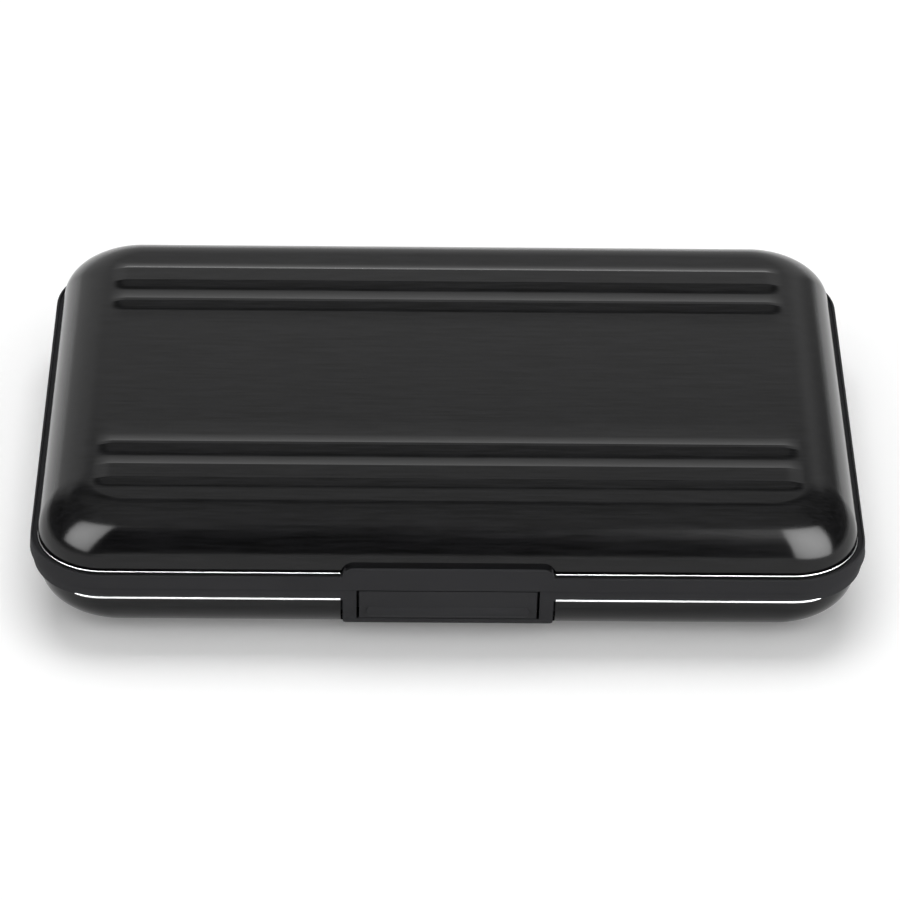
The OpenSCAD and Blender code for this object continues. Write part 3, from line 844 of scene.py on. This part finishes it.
def plastic_material(name, colour, roughness):
    """Matte moulded plastic with a fine spark texture."""
    m = Material(name, colour, IOR=1.16)
    fine = m.noise((7000, 7000, 7000), roughness=0.7)
    m.tone(m.noise((80, 80, 80), detail=2.0), 0.88, 1.15)
    m.roughen(fine, roughness - 0.06, roughness + 0.08)
    m.bump(fine, distance=6e-6)
    return m.material


def foam_material(name, factor):
    """Closed-cell foam, its colour made darker or lighter by a factor."""
    m = Material(name, shaded(colours().foam, factor), Roughness=0.95, IOR=1.4)
    cells = m.add("ShaderNodeTexVoronoi", Vector=m.stretched((2200, 2200, 2200)),
                  Scale=1.0).outputs["Distance"]
    cloud = m.ramp(m.noise((120, 120, 120)), *NOISE_SPAN, 0.8, 1.25)
    m.tone(m.product(cells, cloud), 0.6, 1.7)
    m.bump(cells, distance=8e-5)
    return m.material


def film_material():
    """Clear adhesive film on its paper."""
    m = Material("adhesive_film", colours().film, IOR=1.5)
    cloud = m.noise((300, 300, 300))
    m.tone(cloud, 0.92, 1.04)
    m.roughen(cloud, 0.4, 0.6)
    m.bump(cloud, distance=1e-5)
    return m.material


def steel_material():
    """Drawn steel with lines along its length."""
    m = Material("drawn_steel", colours().steel, Metallic=1.0)
    lines = m.noise((60, 8000, 8000))
    m.tone(lines, 0.85, 1.1)
    m.roughen(lines, 0.22, 0.38)
    m.bump(lines, distance=2e-6)
    return m.material


def finish_nodes(names, material):
    """Gives a material to solids that are shown as they are."""
    for name in names:
        data = frame["nodes"][name].data
        data.materials.clear()
        data.materials.append(material)


def settle(piece, body, node):
    """Lets a piece move with its body and stand for a solid, if given."""
    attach(piece, body)
    if node:
        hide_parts(node)


def settle_foam(piece, half, node):
    """Softens the edges of a foam piece and lets it stand for its solid."""
    round_edges(piece, sizes().foam_edge)
    soften(piece)
    settle(piece, BODY_OF[half], node)


def spring_half(side, material):
    """Half of the leaf spring that sits between its slot in the frame and the button, cut from its
    solid.
    """
    bm = merged_solid("latch_spring")
    halved = bmesh.ops.bisect_plane(
        bm, geom=bm.verts[:] + bm.edges[:] + bm.faces[:], dist=WELD,
        plane_co=(0, 0, 0), plane_no=(-side, 0, 0), clear_outer=True)
    open_edges = [part for part in halved["geom_cut"] if isinstance(part, bmesh.types.BMEdge)]
    bmesh.ops.contextual_create(bm, geom=open_edges)
    bmesh.ops.recalc_face_normals(bm, faces=bm.faces)
    piece = new_piece(f"spring_half_{'right' if side > 0 else 'left'}", bm)
    soften(piece)
    paint(piece, material)
    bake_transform(piece)
    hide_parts("latch_spring")


class CARDCASE_OT_shells(bpy.types.Operator):
    """Both pressed shells, with their ribs and cut-outs"""

    bl_idname = "cardcase.shells"
    bl_label = "Shells"

    def execute(self, context):
        material = shell_material()
        for half in HALVES:
            settle(build_shell(half, material), BODY_OF[half], f"{half}_shell")
        return {"FINISHED"}


class CARDCASE_OT_rims(bpy.types.Operator):
    """Bare bright rims round the foot of both shells"""

    bl_idname = "cardcase.rims"
    bl_label = "Rims"

    def execute(self, context):
        material = rim_material()
        for half in HALVES:
            settle(build_rim(half, material), BODY_OF[half], None)
        return {"FINISHED"}


class CARDCASE_OT_frames(bpy.types.Operator):
    """Moulded frames with their ledges, knuckles and latch parts"""

    bl_idname = "cardcase.frames"
    bl_label = "Frames"

    def execute(self, context):
        material = plastic_material("moulded_frame", colours().frame, roughness=0.72)
        for half in HALVES:
            node = f"{half}_frame"
            piece = moulding(node, f"{node}_moulding", sizes().frame_edge, material)
            if half == UPPER:
                cut(piece, seam_tool(material))
                cut(piece, hump_slot())
                soften(piece)
                paint(piece, material)
            settle(piece, BODY_OF[half], node)
        return {"FINISHED"}


class CARDCASE_OT_button(bpy.types.Operator):
    """Latch button with its ridge and its hook"""

    bl_idname = "cardcase.button"
    bl_label = "Button"

    def execute(self, context):
        material = plastic_material("moulded_button", colours().button, roughness=0.68)
        piece = moulding("latch_button", "button_moulding", sizes().button_edge, material)
        settle(piece, "button", "latch_button")
        return {"FINISHED"}


class CARDCASE_OT_steel(bpy.types.Operator):
    """Hinge pins, and the two halves of the latch's leaf spring"""

    bl_idname = "cardcase.steel"
    bl_label = "Pins and Spring"

    def execute(self, context):
        material = steel_material()
        finish_nodes(("hinge_pin_left", "hinge_pin_right"), material)
        for side in (-1, 1):
            spring_half(side, material)
        return {"FINISHED"}


class CARDCASE_OT_foam(bpy.types.Operator):
    """Foam trays with their pockets, the sheets under them and the films"""

    bl_idname = "cardcase.foam"
    bl_label = "Foam"

    def execute(self, context):
        tray_foam = foam_material("tray_foam", 1.0)
        sheet_foam = foam_material("sheet_foam", 0.85)
        for half in HALVES:
            settle_foam(build_tray(half, tray_foam), half, f"{half}_foam_tray")
            sheet = foam_slab(f"{half}_foam_base", f"{half}_foam_sheet")
            paint(sheet, sheet_foam)
            settle_foam(sheet, half, f"{half}_foam_base")
        finish_nodes(("upper_film", "lower_film"), film_material())
        return {"FINISHED"}


class CARDCASE_OT_studio(bpy.types.Operator):
    """Floor, lights, background and camera"""

    bl_idname = "cardcase.studio"
    bl_label = "Studio"

    def execute(self, context):
        build_floor()
        build_world()
        build_lamps()
        build_camera()
        return {"FINISHED"}


# Width of a softbox's soft edges, as a tangent, and its darkening towards them
SOFTBOX_EDGE = 0.05
SOFTBOX_FALL = 0.35
# Sine of the angle into a clip's plane over which a softbox fades in
CLIP_EDGE = (0.015, 0.065)
# Least cosine from a softbox's own direction at which it is drawn
FACING_MIN = 0.05
# Distance of the lamps from the middle of the case, in metres
LAMP_DISTANCE = 1.2


class Softbox:
    """A softbox as seen from the case: a direction in degrees, and its spans across and
    up, as tangents from there. Each clip is a direction, and hides what lies away from it."""

    def __init__(self, name, azimuth, elevation, roll, across, up,
                 clips=(), level=1.0, clip_edge=CLIP_EDGE):
        self.name = name
        self.across, self.up = across, up
        self.clips, self.clip_edge = clips, clip_edge
        self.level = level
        a, e, r = (math.radians(v) for v in (azimuth, elevation, roll))
        self.facing = Vector((math.sin(a) * math.cos(e), math.cos(a) * math.cos(e), math.sin(e)))
        sideways = Vector((math.cos(a), -math.sin(a), 0))
        upright = sideways.cross(self.facing)
        self.right = sideways * math.cos(r) + upright * math.sin(r)
        self.top = upright * math.cos(r) - sideways * math.sin(r)

    def seen_in(self, nodes, direction):
        """Mask of the softbox in a direction, brighter at its middle."""
        facing = nodes.dot(direction, self.facing)
        mask = nodes.math("GREATER_THAN", facing, FACING_MIN)
        facing = nodes.math("MAXIMUM", facing, FACING_MIN)
        for axis, (low, high) in ((self.right, self.across), (self.top, self.up)):
            place = nodes.math("DIVIDE", nodes.dot(direction, axis), facing)
            middle, reach = (low + high) / 2, (high - low) / 2
            off = nodes.math("DIVIDE", nodes.math("SUBTRACT", place, middle), reach)
            mask = nodes.product(
                mask, nodes.ramp(place, low, low + SOFTBOX_EDGE, soft=True),
                nodes.ramp(place, high, high - SOFTBOX_EDGE, soft=True),
                nodes.math("SUBTRACT", 1.0, nodes.product(off, off, SOFTBOX_FALL)))
        for clip in self.clips:
            inside = nodes.ramp(nodes.dot(direction, clip), *self.clip_edge, soft=True)
            mask = nodes.product(mask, inside)
        return mask

    def lamp(self, watts):
        """Adds the lamp that lights the case from where the softbox is seen."""
        middle = self.facing + self.right * sum(self.across) / 2 + self.top * sum(self.up) / 2
        light = bpy.data.lights.new(self.name, "AREA")
        light.shape = "RECTANGLE"
        light.size = LAMP_DISTANCE * (self.across[1] - self.across[0])
        light.size_y = LAMP_DISTANCE * (self.up[1] - self.up[0])
        light.energy = watts
        lamp = bpy.data.objects.new(self.name, light)
        bpy.context.scene.collection.objects.link(lamp)
        lamp.matrix_world = (Matrix.Translation(middle * LAMP_DISTANCE)
                             @ Matrix((self.right, self.top, self.facing)).transposed().to_4x4())
        lamp.visible_glossy = False


SOFTBOXES = (
    Softbox("softbox_left", azimuth=-161.1, elevation=28.5, roll=15.6,
            across=(0.07, 1.285), up=(-0.435, 0.80), clips=((-0.847, 0.499, 0.183), (-1, 0, 0))),
    Softbox("softbox_right", azimuth=147.5, elevation=21.1, roll=6.8,
            across=(-0.847, 0.375), up=(-0.33, 1.14), clips=((1, 0, 0),),
            level=1.2, clip_edge=(0.085, 0.12)))
TOP_SOFTBOX = Softbox("softbox_top", azimuth=0, elevation=68, roll=0,
                      across=(-0.4, 0.4), up=(-0.3, 0.3))

# Direction of the pale wall behind the case, and the cosines from it over which it fades in
BACK_WALL = (-0.139, 0.990, 0.0)
BACK_FADE = (0.70, 0.90)
# The dark front fades in over these Y, and over these X, which lie further out by a share of Y
FRONT_FADE = (-0.29, -0.35)
FRONT_SIDES = (0.14, 0.06)
FRONT_SPREAD = 0.25
# Levels of the studio from the horizon (0) to overhead (1), by the sine of the elevation
BACK_LEVELS = ((0.0, 0.8), (0.07, 0.8), (0.11, 0.5), (0.56, 0.5), (0.612, 0.09), (0.70, 0.09),
               (0.76, 0.27), (0.90, 0.34), (0.98, 0.44))
SIDE_LEVELS = ((0.0, 0.5), (0.07, 0.4), (0.11, 0.13), (0.50, 0.09), (0.84, 0.2), (0.92, 0.40),
               (1.0, 0.44))
FRONT_LEVELS = ((0.0, 0.8), (0.07, 0.8), (0.11, 0.10), (0.50, 0.03), (1.0, 0.03))
# A little over 1, so that no root is taken of a negative value
OVER_ONE = 1.0001
WHITE = (1, 1, 1, 1)


def build_world():
    """Even light on the case, and a studio with a ceiling and two softboxes in its gloss."""
    world = bpy.data.worlds.new("studio")
    bpy.context.scene.world = world
    world.use_nodes = True
    world.node_tree.nodes.clear()
    nodes = Nodes(world.node_tree)
    direction = nodes.add("ShaderNodeTexCoord").outputs["Generated"]
    split = nodes.add("ShaderNodeSeparateXYZ", direction).outputs
    level_part = nodes.math("SUBTRACT", OVER_ONE, nodes.product(split["Z"], split["Z"]))
    backward = nodes.math("DIVIDE", nodes.dot(direction, BACK_WALL),
                          nodes.math("SQRT", level_part))
    aside = nodes.math("ADD", nodes.math("ABSOLUTE", split["X"]),
                       nodes.product(split["Y"], FRONT_SPREAD))
    forward = nodes.product(nodes.ramp(split["Y"], *FRONT_FADE, soft=True),
                            nodes.ramp(aside, *FRONT_SIDES, soft=True))

    def levels(table):
        """The levels of a table, by the height of the direction."""
        node = nodes.add("ShaderNodeValToRGB", split["Z"])
        elements = node.color_ramp.elements
        for (place, value), element in zip(table, list(elements)):
            element.position = place
            element.color = (value, value, value, 1)
        for place, value in table[len(elements):]:
            elements.new(place).color = (value, value, value, 1)
        return node.outputs[0]

    behind = nodes.ramp(backward, *BACK_FADE, soft=True)
    walls = nodes.blend(behind, levels(SIDE_LEVELS), levels(BACK_LEVELS))
    walls = nodes.blend(forward, walls, levels(FRONT_LEVELS))
    room = nodes.result("ShaderNodeBackground", walls, studio().sky)
    for box in SOFTBOXES:
        glow = nodes.product(box.seen_in(nodes, direction), studio().softbox * box.level)
        lit = nodes.result("ShaderNodeBackground", WHITE, glow)
        room = nodes.result("ShaderNodeAddShader", room, lit)
    even = nodes.result("ShaderNodeBackground", WHITE, studio().ambient)
    path = nodes.add("ShaderNodeLightPath").outputs
    seen = nodes.math("MAXIMUM", path["Is Camera Ray"],
                      nodes.math("MAXIMUM", path["Is Glossy Ray"], path["Is Transmission Ray"]))
    nodes.add("ShaderNodeOutputWorld", nodes.result("ShaderNodeMixShader", seen, even, room))


# Half the width of the floor, in metres
FLOOR_HALF = 1.5


def build_floor():
    """Pale seamless floor under the case."""
    bm = bmesh.new()
    bmesh.ops.create_grid(bm, x_segments=1, y_segments=1, size=FLOOR_HALF)
    floor = new_piece("studio_floor", bm)
    m = Material("studio_floor", colours().floor, Roughness=0.9, IOR=1.3,
                 Emission_Color=(*colours().floor, 1.0), Emission_Strength=studio().floor_lift)
    m.tone(m.noise((8, 8, 8), detail=2.0), 0.995, 1.005)
    floor.data.materials.append(m.material)


def build_lamps():
    """The softboxes' lamps, which don't show in the gloss."""
    powers = (studio().left_w, studio().right_w, studio().top_w)
    for box, watts in zip((*SOFTBOXES, TOP_SOFTBOX), powers):
        box.lamp(watts)


# The camera, fitted to the case's outlines in the photograph, in degrees, metres and pixels
CAMERA_ELEVATION = 34.62
CAMERA_TURN = -0.7375
CAMERA_ROLL = 0.8377
CAMERA_DISTANCE = 0.63806
CAMERA_CLIP = (0.01, 10)
# Height above the frame's ledge that it looks at
CAMERA_HEIGHT = 0.15 * MM
FOCAL_PX = 4682.5
CENTRE_PX = (447.18, 414.12)
IMAGE_PX = 900.0
SENSOR_MM = 36


def build_camera():
    """Camera that sees the case as the photograph does."""
    s = sizes()
    elevation, turn, roll = (math.radians(v) for v in (CAMERA_ELEVATION, CAMERA_TURN, CAMERA_ROLL))
    target = Outline(s).place(UPPER, 0, 0, s.ledge_h + CAMERA_HEIGHT)
    away = Vector((math.sin(turn) * math.cos(elevation), -math.cos(turn) * math.cos(elevation),
                   math.sin(elevation)))
    right = Vector((math.cos(turn), math.sin(turn), 0))
    up = away.cross(right)
    right, up = (right * math.cos(roll) + up * math.sin(roll),
                 up * math.cos(roll) - right * math.sin(roll))
    data = bpy.data.cameras.new("photo_camera")
    data.sensor_width = SENSOR_MM
    data.lens = FOCAL_PX / IMAGE_PX * SENSOR_MM
    data.shift_x = (IMAGE_PX / 2 - CENTRE_PX[0]) / IMAGE_PX
    data.shift_y = -(IMAGE_PX / 2 - CENTRE_PX[1]) / IMAGE_PX
    data.clip_start, data.clip_end = CAMERA_CLIP
    camera = bpy.data.objects.new("photo_camera", data)
    bpy.context.scene.collection.objects.link(camera)
    turned = Matrix((right, up, away)).transposed()
    camera.matrix_world = Matrix.Translation(target + away * CAMERA_DISTANCE) @ turned.to_4x4()
    bpy.context.scene.camera = camera


class CARDCASE_PT_panel(bpy.types.Panel):
    """Lists the case's pieces"""

    bl_idname = "CARDCASE_PT_panel"
    bl_label = "Card Case"
    bl_space_type = "VIEW_3D"
    bl_region_type = "UI"
    bl_category = "Card Case"

    def draw(self, context):
        for operator in OPERATORS:
            self.layout.operator(operator.bl_idname)


OPERATORS = (CARDCASE_OT_shells, CARDCASE_OT_rims, CARDCASE_OT_frames, CARDCASE_OT_button,
             CARDCASE_OT_steel, CARDCASE_OT_foam, CARDCASE_OT_studio)
GROUPS = {"card_case_sizes": CardCaseSizes, "card_case_colours": CardCaseColours,
          "card_case_studio": CardCaseStudio}
CLASSES = (*GROUPS.values(), *OPERATORS, CARDCASE_PT_panel)


def register():
    for cls in CLASSES:
        bpy.utils.register_class(cls)
    for name, group in GROUPS.items():
        setattr(bpy.types.Scene, name, bpy.props.PointerProperty(type=group))


def unregister():
    for name in GROUPS:
        delattr(bpy.types.Scene, name)
    for cls in reversed(CLASSES):
        bpy.utils.unregister_class(cls)


def main():
    """Builds the case and its studio."""
    register()
    bpy.context.scene.view_settings.view_transform = "Standard"
    bpy.ops.cardcase.shells()
    bpy.ops.cardcase.rims()
    bpy.ops.cardcase.frames()
    bpy.ops.cardcase.button()
    bpy.ops.cardcase.steel()
    bpy.ops.cardcase.foam()
    bpy.ops.cardcase.studio()


if __name__ == "__main__":
    main()
